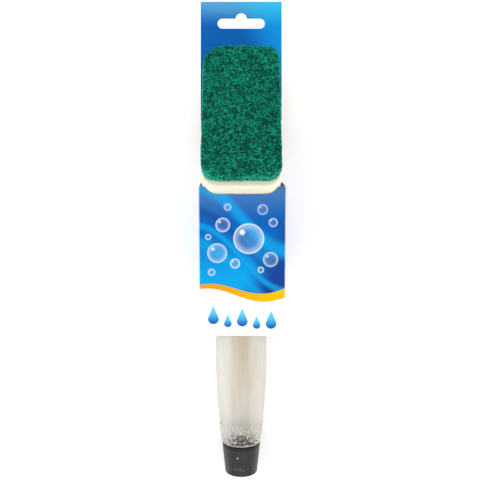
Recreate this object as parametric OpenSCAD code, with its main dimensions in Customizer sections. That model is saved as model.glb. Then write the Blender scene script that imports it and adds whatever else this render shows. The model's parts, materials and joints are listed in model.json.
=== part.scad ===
// A dish wand in its card packaging. A clear squeezable handle holds the washing-up soap, a screw
// cap closes its filler mouth, and a bent head carries a sponge with a scouring pad. A card sleeve
// wraps the handle, and its backing card ends in a header with a hanging slot.
// The wand lies on its back: the cap's end and the head, on the header card, are what it rests on.
// All sizes are in millimetres. +Y runs from the cap to the header, and +Z is up.

/* [Handle] */
// Radius of the handle at the cap
tube_rim_r = 12.5; // [12.1:0.1:13.5]
// Greatest radius of the handle
tube_belly_r = 16.35; // [14.5:0.05:18]
// Radius of the handle at the neck shoulder
tube_shoulder_r = 9.6; // [9:0.1:11]
// Run from the cap rim to the fattest place
belly_run = 56; // [45:1:70]
// Run from the fattest place to the neck shoulder
taper_run = 84; // [70:1:100]
// Wall of the handle
tube_wall = 1.6; // [1.2:0.1:2]
// Rounding of the handle's two outer edges
tube_edge_r = 0.9; // [0.4:0.1:1.2]

/* [Neck] */
// Radius of the neck that the head is pushed on to
neck_r = 7; // [6.6:0.1:7.4]
// Length of the neck
neck_l = 14.2; // [12:0.1:16]
// Wall of the neck
neck_wall = 2.5; // [2.2:0.1:2.8]
// Thickness of the neck ring's cord
ring_d = 1.3; // [1:0.1:1.4]
// Distance from the shoulder to the neck ring
ring_run = 9; // [6:0.5:10]

/* [Filler mouth] */
// Radius of the filler mouth at the root of its thread
mouth_r = 9; // [8.6:0.1:9.4]
// Length of the filler mouth
mouth_l = 12; // [11:0.5:13]
// Wall of the filler mouth
mouth_wall = 1.6; // [1.2:0.1:2]
// Rise of the thread in one turn
thread_pitch = 4; // [3.6:0.1:4.4]
// Height of the thread
thread_h = 0.8; // [0.6:0.05:0.9]
// Width of the thread at its root
thread_root_w = 2; // [1.6:0.1:2.2]
// Width of the thread at its crest
thread_crest_w = 0.8; // [0.6:0.1:1]

/* [Cap] */
// Length of the cap
cap_l = 20.7; // [20:0.1:24]
// Radius of the cap at its closed end
cap_end_r = 10.45; // [10.2:0.05:11]
// Rounding of the closed end
cap_edge_r = 1.2; // [0.8:0.1:1.6]
// Thickness of the cap's closed end and of its thin wall
cap_wall = 1.8; // [1.4:0.1:2]
// Thickness of the sealing liner
liner_t = 1.2; // [0.8:0.1:1.6]

/* [Head] */
// Angle by which the head bends back from the handle
bend = 30.5; // [26:0.5:34]
// Wall of the socket
socket_wall = 2; // [1.6:0.1:2.4]
// Thickness of the soap valve
valve_t = 1.4; // [1:0.1:1.8]
// Run from the valve seat to the edge of the sponge
head_reach = 3.4; // [3:0.1:5]
// Width of the head base
base_w = 47.5; // [44:0.5:49]
// Length of the head base
base_l = 96; // [90:0.5:97]
// Depth of the head base at its rim
base_depth = 5.7; // [5:0.1:7]
// Thickness of the plate under the sponge
base_plate_t = 3; // [2.6:0.1:3.4]
// Thickness of the rim and the ribs
base_rim_t = 1.8; // [1.4:0.1:2.2]
// Corner radius of the head base
base_corner_r = 9; // [7:0.5:11]
// Number of rib pairs on the back of the head base
rib_pairs = 3; // [2:1:4]
// Greatest radius of the spine that holds the soap channel
spine_r = 10.9; // [10.5:0.1:11.5]
// Radius of the spine's far end
spine_tip_r = 5; // [4.4:0.1:6]
// Run of the spine between the centres of its round ends
spine_run = 63; // [50:1:66]
// Wall of the spine
spine_wall = 1.6; // [1.3:0.1:1.9]
// Thickness of the drip plate over the soap channel
drip_plate_t = 1.4; // [1.2:0.1:1.5]
// Radius of one drip hole
drip_hole_r = 1.4; // [1:0.1:1.6]
// Spacing of the drip holes
drip_pitch = 8; // [7:0.5:10]

/* [Sponge and pad] */
// Width of the sponge
sponge_w = 49.5; // [47:0.5:50.5]
// Length of the sponge
sponge_l = 98.5; // [97.5:0.5:104]
// Thickness of the sponge
sponge_t = 19; // [16:0.5:22]
// Corner radius of the sponge
sponge_corner_r = 10; // [8:0.5:12]
// Width of the scouring pad
pad_w = 49; // [46:0.5:50.5]
// Length of the scouring pad
pad_l = 93.4; // [88:0.2:93.4]
// How far the scouring pad stops short of the sponge's neck end
pad_setback = 4; // [0:0.5:4]
// Thickness of the scouring pad
pad_t = 8; // [6:0.5:10]
// Corner radius of the scouring pad
pad_corner_r = 9; // [7:0.5:12]

/* [Card packaging] */
// Thickness of the card
card_t = 0.5; // [0.4:0.05:0.6]
// Width of the sleeve
sleeve_w = 53.6; // [52.6:0.2:54.2]
// How far the loose sleeve sits to the right of the handle's axis
sleeve_shift = 0.6; // [0:0.1:0.6]
// Length of the sleeve
sleeve_l = 93.6; // [80:0.2:100]
// How far the sleeve's top edge passes the edge of the sponge
sleeve_over = 9.75; // [8:0.25:11]
// Width of one glue flap of the sleeve
flap_w = 12; // [8:0.5:15]
// Outer radius of the sleeve's folds
fold_r = 1; // [0.8:0.1:1.4]
// Width of the header card
header_w = 54.8; // [54:0.2:60]
// Length of the header card
header_l = 79.8; // [72:0.2:90]
// Width of the strip between the sleeve and the header
strip_w = 40; // [30:1:44]
// Length of the strip between the sleeve and the header
strip_l = 47.6; // [44:0.2:50]

/* [Hanging slot] */
// Width of the hanging slot
slot_w = 32; // [30:0.5:34]
// Height of the hanging slot's bar
slot_h = 6.7; // [6:0.1:7.5]
// Radius of the hump above the bar
hump_r = 3.7; // [3:0.1:5]
// Distance from the header's top edge to the middle of the bar
slot_drop = 14.8; // [13:0.2:18]

/* [Clearances] */
// Gap between the cap's rim and the handle
rim_gap = 0.3; // [0.2:0.05:0.5]
// Gap between mating threads, across the axis
thread_gap = 0.2; // [0.15:0.05:0.3]
// Gap between the liner and the filler mouth
liner_gap = 0.25; // [0.15:0.05:0.4]
// Gap that lets a part seat without binding
seat_gap = 0.1; // [0.05:0.05:0.15]
// Radial gap between the neck and its socket
neck_gap = 0.2; // [0.15:0.05:0.3]
// Gap between the neck's end and the valve, and between the shoulder and the socket
neck_end_gap = 0.3; // [0.2:0.05:0.5]
// Gap between the handle and the inside of the sleeve
sleeve_gap = 0.45; // [0.35:0.05:0.8]
// Gap between the sponge and the notch in the sleeve
notch_gap = 0.35; // [0.3:0.05:0.6]
// Gap between the head base and the header card
rest_gap = 0.3; // [0.25:0.05:0.4]

/* [Hidden] */
$fn = 96;
eps = 0.01;
past = 1;
curve_steps = 40;
edge_steps = 6;
thread_steps = 24;

// Places along the handle's axis, from the cap's closed end
rim_s = cap_l + rim_gap;
mouth_end_s = rim_s - mouth_l;
liner_s = mouth_end_s - liner_gap - liner_t;
belly_s = rim_s + belly_run;
shoulder_s = belly_s + taper_run;
neck_end_s = shoulder_s + neck_l;
valve_s = neck_end_s + neck_end_gap;
valve_seat_s = valve_s + valve_t + seat_gap;
socket_s = shoulder_s + neck_end_gap;

// Radii that follow from a mating part
mouth_bore_r = mouth_r - mouth_wall;
neck_bore_r = neck_r - neck_wall;
socket_bore_r = neck_r + neck_gap;
socket_r = socket_bore_r + socket_wall;
cap_bore_r = mouth_r + thread_h + thread_gap;
cap_pocket_r = min(cap_end_r, cap_bore_r) - cap_wall;
ring_groove_r = neck_r - ring_d + seat_gap;

// The thread's ridges reach this far into the wall that carries them
thread_sink = 0.4;
// The thread starts this far from the mouth's end
thread_lead = 2;
mouth_turns = (mouth_l - thread_lead - thread_root_w - past) / thread_pitch;
cap_turns = mouth_turns - 0.5;

// How far the handle's wall leans in at its rounded ends, in degrees
end_lean = 8;

// The cap flares in a straight line from its end to the handle's rim
cap_flare = atan((tube_rim_r - cap_end_r) / cap_l);
cap_edge_axis_r = cap_end_r + cap_edge_r * tan(cap_flare) - cap_edge_r / cos(cap_flare);

// The glued face passes this far over the socket's bore
face_lift = 0.8;
// Share of the sponge's overhang that lies at its neck end
neck_overhang = 0.4;
// The spine starts this far inside the base's neck end
spine_inset = 3;
// Width of the step that the drip plate rests on
drip_plate_ledge = 1.6;
// Share of the rim's depth that the ribs reach
rib_reach = 0.8;
// The socket's wall runs this far past the glued face, into the base
socket_root = 2;

// The head's own frame starts at the sponge's neck edge, on the face that the sponge is glued to
head_s = valve_seat_s + head_reach;
head_h = socket_bore_r + face_lift;
base_v = (sponge_l - base_l) * neck_overhang;
spine_v = base_v + spine_r + spine_inset;
trough_r = spine_r - spine_wall;
trough_tip_r = spine_tip_r - spine_wall;
rib_h = (base_depth - base_plate_t) * rib_reach;
socket_end_s = head_s + head_h / tan(bend) + socket_root;

// The sleeve
sleeve_in = tube_belly_r + sleeve_gap;
sleeve_out = sleeve_in + card_t;
sleeve_top_s = head_s + sleeve_over;
sleeve_low_s = sleeve_top_s - sleeve_l;
panel_past = 0.5;

// The lie of the whole: it tilts until the cap's edge and the head's far corner are both carried
function to_head(v, w) = [head_s + v * cos(bend) + w * sin(bend), head_h - v * sin(bend) + w * cos(bend)];
heel = to_head(base_v + base_l, -base_depth);
toe = [cap_edge_r, -cap_edge_axis_r];
heel_lift = card_t + rest_gap;
rest_tilt = asin((heel_lift - cap_edge_r) / norm(heel - toe)) - atan2(heel[1] - toe[1], heel[0] - toe[0]);
wand_z = cap_edge_r - toe[0] * sin(rest_tilt) - toe[1] * cos(rest_tilt);
function laid(p) = [p[0] * cos(rest_tilt) - p[1] * sin(rest_tilt),
                    wand_z + p[0] * sin(rest_tilt) + p[1] * cos(rest_tilt)];

// The card's creases, seen from the side, before the whole is centred
panel_low = laid([sleeve_low_s, -sleeve_in - card_t / 2]);
panel_top = laid([sleeve_top_s + panel_past, -sleeve_in - card_t / 2]);
strip_fall = asin((panel_top[1] - card_t / 2) / strip_l);
header_low = [panel_top[0] + strip_l * cos(strip_fall), card_t / 2];
header_top = header_low + [header_l, 0];
y_low = toe[0] * cos(rest_tilt) - cap_edge_axis_r * sin(rest_tilt) - cap_edge_r;
wand_y = -(y_low + header_top[0]) / 2;

// Outer radius of the handle at a place along its axis
function tube_r(s) = s < belly_s
    ? tube_belly_r - (tube_belly_r - tube_rim_r) * pow((belly_s - s) / belly_run, 2)
    : tube_belly_r - (tube_belly_r - tube_shoulder_r) * pow((s - belly_s) / taper_run, 2);

// Points on an arc, as [radius, place]
function arc(r, s, size, from, to) =
    [for (i = [0 : edge_steps]) let (t = from + (to - from) * i / edge_steps)
        [r + size * cos(t), s + size * sin(t)]];

// Points between two places on the handle's wall, moved in by depth
function wall_line(from, to, depth) =
    [for (i = [0 : curve_steps]) let (s = from + (to - from) * i / curve_steps) [tube_r(s) - depth, s]];

module at_rest() translate([0, wand_y, wand_z]) rotate([rest_tilt, 0, 0]) children();
module in_head() translate([0, head_s, head_h]) rotate([-bend, 0, 0]) children();
module along_handle() rotate([-90, 0, 0]) children();

// A solid of revolution about the handle's axis
module turned(points) along_handle() rotate_extrude() polygon(points);

// A straight rod on the handle's axis
module rod(r, from, to) along_handle() translate([0, 0, from]) cylinder(r = r, h = to - from);

// A flat shape with round corners, centred across and starting at y = 0
module round_corners(w, l, r) {
    translate([-w / 2, r]) square([w, l - 2 * r]);
    translate([-w / 2 + r, 0]) square([w - 2 * r, l]);
    for (x = [-w / 2 + r, w / 2 - r], y = [r, l - r]) translate([x, y]) circle(r = r);
}

// One screw ridge about Z, from the root radius to the crest radius
module ridge(root_r, crest_r, turns, start) {
    count = round(turns * thread_steps);
    function ring(k) = let (a = 360 * k / thread_steps, z = start + thread_pitch * k / thread_steps,
                            root = thread_root_w / 2, crest = thread_crest_w / 2)
        [for (p = [[root_r, -root], [crest_r, -crest], [crest_r, crest], [root_r, root]])
            [p[0] * cos(a), p[0] * sin(a), z + p[1]]];
    outward = crest_r > root_r;
    points = [for (k = [0 : count]) each ring(k)];
    sides = [for (k = [0 : count - 1], j = [0 : 3])
        let (a = 4 * k + j, b = 4 * k + (j + 1) % 4, c = b + 4, d = a + 4)
        each outward ? [[a, b, c], [a, c, d]] : [[a, c, b], [a, d, c]]];
    e = 4 * count;
    ends = outward ? [[0, 2, 1], [0, 3, 2], [e, e + 1, e + 2], [e, e + 2, e + 3]]
                   : [[0, 1, 2], [0, 2, 3], [e, e + 2, e + 1], [e, e + 3, e + 2]];
    polyhedron(points = points, faces = concat(sides, ends), convexity = 6);
}

module handle_tube() {
    mouth_chamfer = 0.4;
    neck_chamfer = 0.6;
    funnel = 3;
    ring_play = 0.5;
    ring_w = ring_d + ring_play;
    ring_s = shoulder_s + ring_run;
    inner_from = rim_s + 2 * tube_wall;
    inner_to = shoulder_s - funnel;
    color([0.91, 0.89, 0.84, 0.55]) at_rest() union() {
        turned(concat(
            [[mouth_bore_r, mouth_end_s], [mouth_r - mouth_chamfer, mouth_end_s],
             [mouth_r, mouth_end_s + mouth_chamfer], [mouth_r, rim_s]],
            arc(tube_rim_r - tube_edge_r, rim_s + tube_edge_r, tube_edge_r, -90, -end_lean),
            wall_line(rim_s + tube_edge_r, shoulder_s - tube_edge_r, 0),
            arc(tube_r(shoulder_s - tube_edge_r) - tube_edge_r, shoulder_s - tube_edge_r, tube_edge_r,
                end_lean, 90),
            [[neck_r, shoulder_s], [neck_r, ring_s - ring_w / 2], [ring_groove_r, ring_s - ring_w / 2],
             [ring_groove_r, ring_s + ring_w / 2], [neck_r, ring_s + ring_w / 2],
             [neck_r, neck_end_s - neck_chamfer], [neck_r - neck_chamfer, neck_end_s],
             [neck_bore_r, neck_end_s], [neck_bore_r, shoulder_s]],
            wall_line(inner_to, inner_from, tube_wall),
            [[mouth_bore_r, rim_s + tube_wall]]));
        along_handle() ridge(mouth_r - thread_sink, mouth_r + thread_h, mouth_turns,
                             mouth_end_s + thread_lead);
    }
}

module neck_ring() {
    ring_s = shoulder_s + ring_run;
    color([0.12, 0.12, 0.12]) at_rest() along_handle() translate([0, 0, ring_s])
        rotate_extrude() translate([ring_groove_r + ring_d / 2, 0]) circle(d = ring_d);
}

module filler_cap() {
    rim_edge = 0.35;
    rim_r = tube_rim_r - rim_edge * tan(cap_flare);
    shelf_s = liner_s - seat_gap;
    color([0.13, 0.13, 0.14]) at_rest() union() {
        turned(concat(
            [[0, 0]],
            arc(cap_edge_axis_r, cap_edge_r, cap_edge_r, -90, -cap_flare),
            [[rim_r, cap_l - rim_edge], [rim_r - rim_edge, cap_l], [cap_bore_r + rim_edge, cap_l],
             [cap_bore_r, cap_l - rim_edge], [cap_bore_r, shelf_s], [cap_pocket_r, shelf_s],
             [cap_pocket_r, cap_wall], [0, cap_wall]]));
        along_handle() ridge(cap_bore_r + thread_sink, mouth_r + thread_gap, cap_turns,
                             mouth_end_s + thread_lead + thread_pitch / 2);
    }
}

module cap_liner() {
    side_gap = 0.5;
    color([0.93, 0.93, 0.9]) at_rest() rod(cap_bore_r - side_gap, liner_s, liner_s + liner_t);
}

module flow_valve() {
    slit = 0.3;
    slit_l = neck_bore_r * 1.2;
    color([0.85, 0.87, 0.88]) at_rest() difference() {
        rod(socket_bore_r - seat_gap, valve_s, valve_s + valve_t);
        for (turn = [0, 90]) rotate([0, turn, 0]) translate([-slit_l / 2, valve_s - past, -slit / 2])
            cube([slit_l, valve_t + 2 * past, slit]);
    }
}

// Outline of the soap channel's revolved shape, grown or shrunk: two round ends and a straight taper
function drop_outline(big_r, tip_r) =
    let (lean = asin((big_r - tip_r) / spine_run))
    concat([for (i = [0 : 2 * edge_steps]) let (t = -90 + (90 + lean) * i / (2 * edge_steps))
                [big_r * cos(t), big_r * sin(t)]],
           [for (i = [0 : 2 * edge_steps]) let (t = lean + (90 - lean) * i / (2 * edge_steps))
                [tip_r * cos(t), spine_run + tip_r * sin(t)]]);

module drop_solid(big_r, tip_r)
    translate([0, spine_v, 0]) along_handle() rotate_extrude() polygon(drop_outline(big_r, tip_r));

module drop_slab(big_r, tip_r, from, to) {
    half = drop_outline(big_r, tip_r);
    other_half = [for (i = [len(half) - 2 : -1 : 1]) [-half[i][0], half[i][1]]];
    translate([0, spine_v, from]) linear_extrude(to - from) polygon(concat(half, other_half));
}

module head_base() {
    rib_run = base_l / (rib_pairs + 1);
    rim_in = base_rim_t;
    color([0.13, 0.13, 0.14]) at_rest() difference() {
        union() {
            in_head() {
                difference() {
                    translate([0, base_v, -base_depth]) linear_extrude(base_depth)
                        round_corners(base_w, base_l, base_corner_r);
                    translate([0, base_v + rim_in, -base_depth - past])
                        linear_extrude(base_depth - base_plate_t + past)
                        round_corners(base_w - 2 * rim_in, base_l - 2 * rim_in, base_corner_r - rim_in);
                }
                for (i = [1 : rib_pairs])
                    translate([-base_w / 2 + rim_in / 2, base_v + i * rib_run - rim_in / 2,
                               -base_plate_t - rib_h])
                        cube([base_w - rim_in, rim_in, rib_h + eps]);
                drop_solid(spine_r, spine_tip_r);
            }
            rod(socket_r, socket_s, socket_end_s);
        }
        in_head() {
            translate([-sponge_w, -sponge_l, 0]) cube([2 * sponge_w, 3 * sponge_l, 3 * spine_r]);
            drop_solid(trough_r, trough_tip_r);
            drop_slab(trough_r + drip_plate_ledge + seat_gap, trough_tip_r + drip_plate_ledge + seat_gap,
                      -drip_plate_t - seat_gap, past);
        }
        rod(socket_bore_r, socket_s - past, valve_seat_s);
        rod(neck_bore_r, valve_seat_s - past, head_s + trough_r);
    }
}

module drip_plate() {
    rows = floor((spine_run + trough_r) / drip_pitch);
    color([0.8, 0.82, 0.84]) at_rest() in_head() difference() {
        drop_slab(trough_r + drip_plate_ledge, trough_tip_r + drip_plate_ledge, -drip_plate_t, 0);
        for (i = [0 : rows - 1], j = [-1 : 1]) {
            v = i * drip_pitch;
            room = trough_r - (trough_r - trough_tip_r) * v / spine_run - 2 * drip_hole_r;
            if (v < spine_run && (j == 0 || room > drip_pitch / 2))
                translate([j * drip_pitch / 2, spine_v + v + abs(j) * drip_pitch / 2, -drip_plate_t - past])
                    cylinder(r = drip_hole_r, h = drip_plate_t + 2 * past);
        }
    }
}

// The sponge's block, which the notch in the sleeve follows with a gap
module sponge_block(grow) translate([0, -grow, -grow])
    linear_extrude(sponge_t + 2 * grow)
        round_corners(sponge_w + 2 * grow, sponge_l + 2 * grow, sponge_corner_r + grow);

module sponge() {
    color([0.97, 0.95, 0.86]) at_rest() in_head() sponge_block(0);
}

module scour_pad() {
    color([0, 0.46, 0.37]) at_rest() in_head() translate([0, pad_setback, sponge_t])
        linear_extrude(pad_t) round_corners(pad_w, pad_l, pad_corner_r);
}

// Card of even thickness along a line of creases seen from the side, with mitred folds
module creased_card(line, width) {
    last = len(line) - 1;
    function lean(i) = let (d = line[i + 1] - line[i]) [-d[1], d[0]] / norm(d);
    function mitre(i) = let (a = lean(max(i - 1, 0)), b = lean(min(i, last - 1))) (a + b) / (1 + a * b);
    side = [for (i = [0 : last]) line[i] + mitre(i) * card_t / 2];
    other_side = [for (i = [last : -1 : 0]) line[i] - mitre(i) * card_t / 2];
    translate([0, wand_y, 0]) rotate([90, 0, 90])
        linear_extrude(width, center = true) polygon(concat(side, other_side));
}

module hanging_slot() {
    bar_y = header_top[0] + wand_y - slot_drop;
    translate([0, bar_y, -past]) linear_extrude(card_t + 2 * past) {
        square([slot_w - slot_h, slot_h], center = true);
        for (x = [-1, 1]) translate([x * (slot_w - slot_h) / 2, 0]) circle(d = slot_h);
        translate([0, slot_h / 2]) circle(r = hump_r);
    }
}

// Three flat runs of one card: a panel glued into the sleeve, a narrow strip, and the header.
// Neighbours share a short stretch past their fold, so that they join.
module backing_card() {
    join = 5;
    panel_w = sleeve_w - 2 * fold_r - 2 * seat_gap;
    along_panel = (panel_low - panel_top) / norm(panel_low - panel_top);
    color([0, 0.38, 0.71]) difference() {
        union() {
            translate([sleeve_shift, 0, 0]) creased_card([panel_low, panel_top], panel_w);
            creased_card([panel_top + along_panel * join, panel_top, header_low, header_low + [join, 0]],
                         strip_w);
            creased_card([header_low, header_top], header_w);
        }
        hanging_slot();
    }
}

module wrap_sleeve() {
    half = sleeve_w / 2;
    low = sleeve_in + 2 * card_t;
    module shell(grow) {
        w = sleeve_w + 2 * grow;
        h = sleeve_out + low + 2 * grow;
        translate([0, -low - grow]) round_corners(w, h, fold_r + grow);
    }
    color([0.1, 0.45, 0.75]) at_rest() difference() {
        translate([sleeve_shift, sleeve_top_s, 0]) rotate([90, 0, 0]) linear_extrude(sleeve_l) difference() {
            shell(0);
            shell(-card_t);
            translate([-half + flap_w, -low - past]) square([sleeve_w - 2 * flap_w, card_t + 2 * past]);
        }
        in_head() sponge_block(notch_gap);
    }
}

handle_tube();
neck_ring();
filler_cap();
cap_liner();
head_base();
flow_valve();
drip_plate();
sponge();
scour_pad();
backing_card();
wrap_sleeve();
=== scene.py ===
import json
import logging
import math
import random
from dataclasses import dataclass, field
from enum import Enum
from typing import Callable, ClassVar, Optional, Union

import bmesh
import bpy
from mathutils import Matrix, Vector, noise


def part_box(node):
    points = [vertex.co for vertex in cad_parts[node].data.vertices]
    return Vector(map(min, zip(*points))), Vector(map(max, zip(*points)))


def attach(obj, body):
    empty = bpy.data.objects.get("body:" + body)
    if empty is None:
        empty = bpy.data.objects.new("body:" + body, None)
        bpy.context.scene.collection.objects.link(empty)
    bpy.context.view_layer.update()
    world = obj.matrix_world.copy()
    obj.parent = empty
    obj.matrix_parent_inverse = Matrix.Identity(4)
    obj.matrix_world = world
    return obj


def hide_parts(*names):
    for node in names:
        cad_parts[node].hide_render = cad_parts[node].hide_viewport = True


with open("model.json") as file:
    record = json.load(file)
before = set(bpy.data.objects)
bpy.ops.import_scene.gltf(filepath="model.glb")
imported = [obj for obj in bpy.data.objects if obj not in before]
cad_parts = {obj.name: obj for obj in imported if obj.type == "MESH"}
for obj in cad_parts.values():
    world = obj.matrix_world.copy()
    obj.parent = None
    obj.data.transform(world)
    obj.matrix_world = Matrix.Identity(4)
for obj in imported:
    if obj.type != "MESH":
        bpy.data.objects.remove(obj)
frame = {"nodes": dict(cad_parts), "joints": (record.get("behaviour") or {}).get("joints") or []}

LOG = logging.getLogger("dish_wand")
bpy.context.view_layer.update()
MM = 0.001

Triple = tuple[float, float, float]
Colour = Triple
Pair = tuple[float, float]
Socket = bpy.types.NodeSocket
Feed = Union[float, Socket]
Outputs = bpy.types.bpy_prop_collection
Settings = dict[str, object]


def srgb(red: float, green: float, blue: float) -> Colour:
    """A colour given as screen values from 0 to 255.

    Args:
        red, green, blue: the three screen values.

    Returns:
        The same colour in linear light, as Blender's sockets take it.
    """
    parts = (value / 255 for value in (red, green, blue))
    return tuple(p / 12.92 if p <= 0.04045 else ((p + 0.055) / 1.055) ** 2.4 for p in parts)


def across_of(node: str) -> tuple[float, float]:
    """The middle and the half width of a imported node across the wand, in metres."""
    low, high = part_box(node)
    return (low[0] + high[0]) / 2, (high[0] - low[0]) / 2


def tilt_of(joint: str) -> float:
    """How steeply a joint's axis rises from the table, in radians."""
    axis = next(entry["axis"] for entry in frame["joints"] if entry["name"] == joint)
    return math.atan2(axis[2], axis[1])


@dataclass(frozen=True)
class Lie:
    """How the wand lies on its back: how it tilts, where its cap ends, and where the head starts."""

    tilt: float
    origin: Vector = field(default_factory=lambda: Vector((0.0, -156.521 * MM, 10.306 * MM)))
    bend: float = math.radians(30.5)
    head_s: float = 180.4 * MM
    head_h: float = 8.0 * MM

    def wand_matrix(self) -> Matrix:
        """From the handle's own frame (x, along the axis, to the front) to the frame of the whole."""
        return Matrix.Translation(self.origin) @ Matrix.Rotation(self.tilt, 4, "X")

    def head_matrix(self) -> Matrix:
        """From the head's own frame (x, along the sponge, out of its face) to the frame of the whole."""
        place = Matrix.Translation(Vector((0.0, self.head_s, self.head_h)))
        return self.wand_matrix() @ place @ Matrix.Rotation(-self.bend, 4, "X")


LIE = Lie(tilt_of("head_pull"))


@dataclass(frozen=True)
class HandleSize:
    """Sizes along the handle's axis, measured from the cap's closed end, in metres."""

    rim_s: float = 21.0 * MM
    rim_r: float = 12.5 * MM
    belly_s: float = 77.0 * MM
    belly_r: float = across_of("handle_tube")[1]
    cap_end_r: float = 10.45 * MM
    cap_l: float = 20.7 * MM

    def radius(self, s: float) -> float:
        """Outer radius of the handle between the cap and the belly."""
        run = (self.belly_s - s) / (self.belly_s - self.rim_s)
        return self.belly_r - (self.belly_r - self.rim_r) * run * run

    def cap_radius(self, s: float) -> float:
        """Outer radius of the cap."""
        return self.cap_end_r + (self.rim_r - self.cap_end_r) * s / self.cap_l


HANDLE = HandleSize()


@dataclass(frozen=True)
class Noise:
    """Cloudy noise: features for each metre, finer layers, their strength, and its pull on each axis."""

    scale: Feed
    detail: float = 2.0
    rough: float = 0.5
    stretch: Optional[Triple] = None


class Graph:
    """A short way to write shader nodes into a material's or a group's tree."""

    def __init__(self, tree: bpy.types.NodeTree) -> None:
        """Keeps the tree that the nodes go into."""
        self.tree = tree

    def node(self, kind: str, **settings: object) -> bpy.types.Node:
        """Adds one node.

        Args:
            kind: the node's type name.
            settings: attributes to set on it.

        Returns:
            The new node.
        """
        made = self.tree.nodes.new(kind)
        for name, value in settings.items():
            setattr(made, name, value)
        return made

    def feed(self, target: Socket, value: object) -> None:
        """Links a socket into an input, or sets a plain value on it.

        Args:
            target: the input.
            value: a socket, a number, a vector or a colour.
        """
        if isinstance(value, bpy.types.NodeSocket):
            self.tree.links.new(value, target)
        elif target.type == "RGBA":
            target.default_value = (*value, 1.0)
        else:
            target.default_value = value

    def put(self, node: bpy.types.Node, values: Settings) -> Outputs:
        """Feeds a node's inputs by name.

        Args:
            node: the node.
            values: what goes into each input.

        Returns:
            The node's outputs.
        """
        for name, value in values.items():
            self.feed(node.inputs[name], value)
        return node.outputs

    def math(self, operation: str, a: Feed, b: Feed = 0.0, clamp: bool = False) -> Socket:
        """One math node.

        Args:
            operation: what it does, such as MAXIMUM.
            a, b: its two values.
            clamp: True to hold the result between 0 and 1.

        Returns:
            The result.
        """
        made = self.node("ShaderNodeMath", operation=operation, use_clamp=clamp)
        self.feed(made.inputs[0], a)
        self.feed(made.inputs[1], b)
        return made.outputs[0]

    def plus(self, a: Feed, b: Feed) -> Socket:
        """The sum of two values."""
        return self.math("ADD", a, b)

    def minus(self, a: Feed, b: Feed) -> Socket:
        """The first value less the second."""
        return self.math("SUBTRACT", a, b)

    def times(self, a: Feed, b: Feed) -> Socket:
        """The product of two values."""
        return self.math("MULTIPLY", a, b)

    def most(self, a: Feed, b: Feed) -> Socket:
        """The greater of two values."""
        return self.math("MAXIMUM", a, b)

    def size(self, value: Feed) -> Socket:
        """A value without its sign."""
        return self.math("ABSOLUTE", value)

    def far(self, x: Feed, y: Feed) -> Socket:
        """How far a place is from the middle, from its two coordinates."""
        return self.math("SQRT", self.plus(self.times(x, x), self.times(y, y)))

    def span(self, value: Feed, low: float, high: float, to_low: float = 0.0, to_high: float = 1.0,
             smooth: bool = True) -> Socket:
        """Maps a value from one span to another, held at both ends.

        Args:
            value: what is mapped.
            low, high: the span that it comes from.
            to_low, to_high: the span that it goes to.
            smooth: True for an eased step, False for a straight one.

        Returns:
            The mapped value.
        """
        kind = "SMOOTHSTEP" if smooth else "LINEAR"
        made = self.node("ShaderNodeMapRange", interpolation_type=kind)
        return self.put(made, {"Value": value, "From Min": low, "From Max": high,
                               "To Min": to_low, "To Max": to_high})["Result"]

    def mix(self, share: Feed, a: object, b: object) -> Socket:
        """A blend of two colours.

        Args:
            share: how much of the second colour it has.
            a, b: the two colours.

        Returns:
            The blended colour.
        """
        made = self.node("ShaderNodeMix", data_type="RGBA")
        for slot, value in ((0, share), (6, a), (7, b)):
            self.feed(made.inputs[slot], value)
        return made.outputs[2]

    def noise(self, kind: Noise) -> Socket:
        """Noise in the piece's own space.

        Args:
            kind: which noise.

        Returns:
            Its value, from 0 to 1.
        """
        where = self.place()
        if kind.stretch:
            mapping = self.node("ShaderNodeMapping")
            where = self.put(mapping, {"Vector": where, "Scale": kind.stretch})["Vector"]
        return self.put(self.node("ShaderNodeTexNoise"), {
            "Vector": where, "Scale": kind.scale, "Detail": kind.detail, "Roughness": kind.rough})["Fac"]

    def cells(self, scale: float) -> Socket:
        """How far the nearest of the scattered cells is, with so many cells for each metre."""
        made = self.node("ShaderNodeTexVoronoi")
        return self.put(made, {"Vector": self.place(), "Scale": scale})["Distance"]

    def place(self) -> Socket:
        """The piece's own coordinates, in metres."""
        return self.node("ShaderNodeTexCoord").outputs["Object"]

    def axes(self, vector: Socket) -> tuple[Socket, Socket, Socket]:
        """A vector's X, Y and Z."""
        parts = self.put(self.node("ShaderNodeSeparateXYZ"), {"Vector": vector})
        return parts["X"], parts["Y"], parts["Z"]

    def bump(self, height: Socket, strength: float, distance: float) -> Socket:
        """A normal that follows a height, with the distance in metres."""
        made = self.node("ShaderNodeBump")
        return self.put(made, {"Height": height, "Strength": strength, "Distance": distance})["Normal"]

    def group(self, effect: "SharedEffect", **values: object) -> Outputs:
        """Places a shared effect with its own values, and returns its outputs."""
        return self.put(self.node("ShaderNodeGroup", node_tree=effect.tree()), values)


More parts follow.
